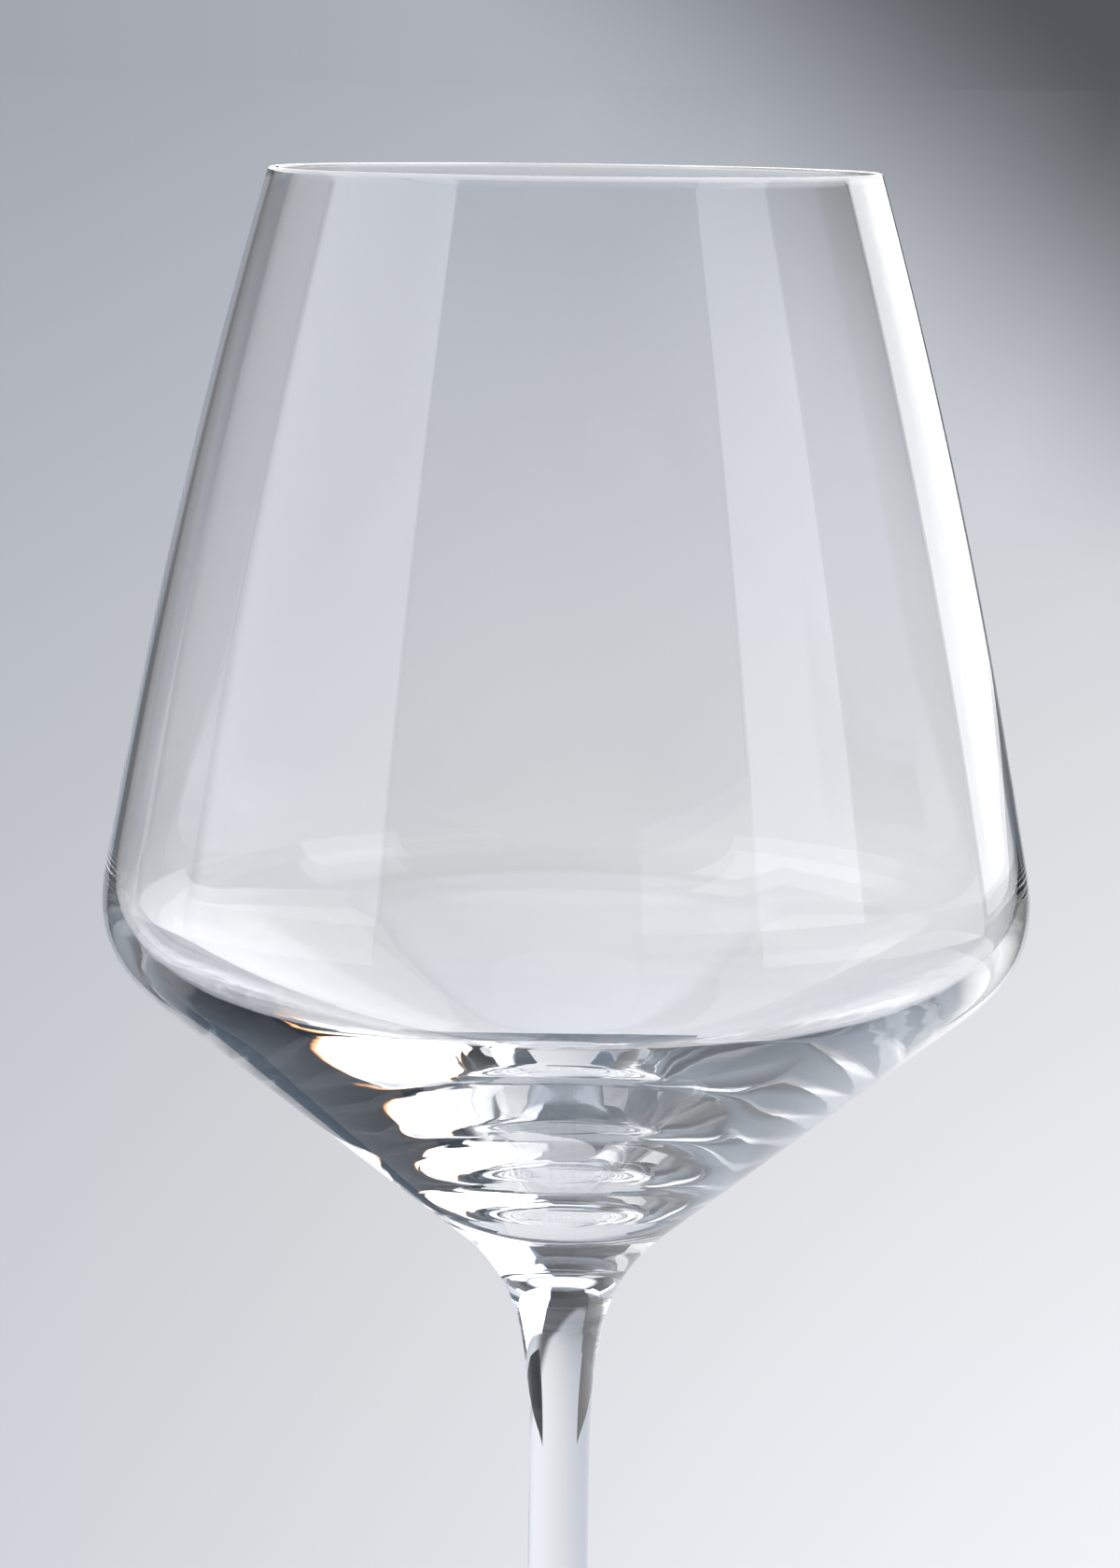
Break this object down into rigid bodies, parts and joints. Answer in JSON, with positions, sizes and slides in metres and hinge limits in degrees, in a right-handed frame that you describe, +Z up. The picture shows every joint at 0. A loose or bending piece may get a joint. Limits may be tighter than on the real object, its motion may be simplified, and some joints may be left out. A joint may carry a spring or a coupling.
{
  "type": "wine glass",
  "caption": "Clear stemmed red wine glass with a tall wall that widens to a rounded shoulder, a conical base, a slender stem and a disc foot.",
  "frame": {"origin": "on the axis of the glass, in the plane that the foot stands on", "axes": "+Z up along the axis of the glass, from the foot to the rim; +X and +Y are any two level directions, because the glass is round"},
  "size_m": [0.11, 0.11, 0.234],
  "materials": {
    "bowl_glass": "clear, fire-polished",
    "stem_glass": "clear, fire-polished",
    "foot_glass": "clear, fire-polished"
  },
  "bodies": {
    "root": {"bowl": "bowl_glass", "stem": "stem_glass", "foot": "foot_glass"}
  },
  "joints": []
}
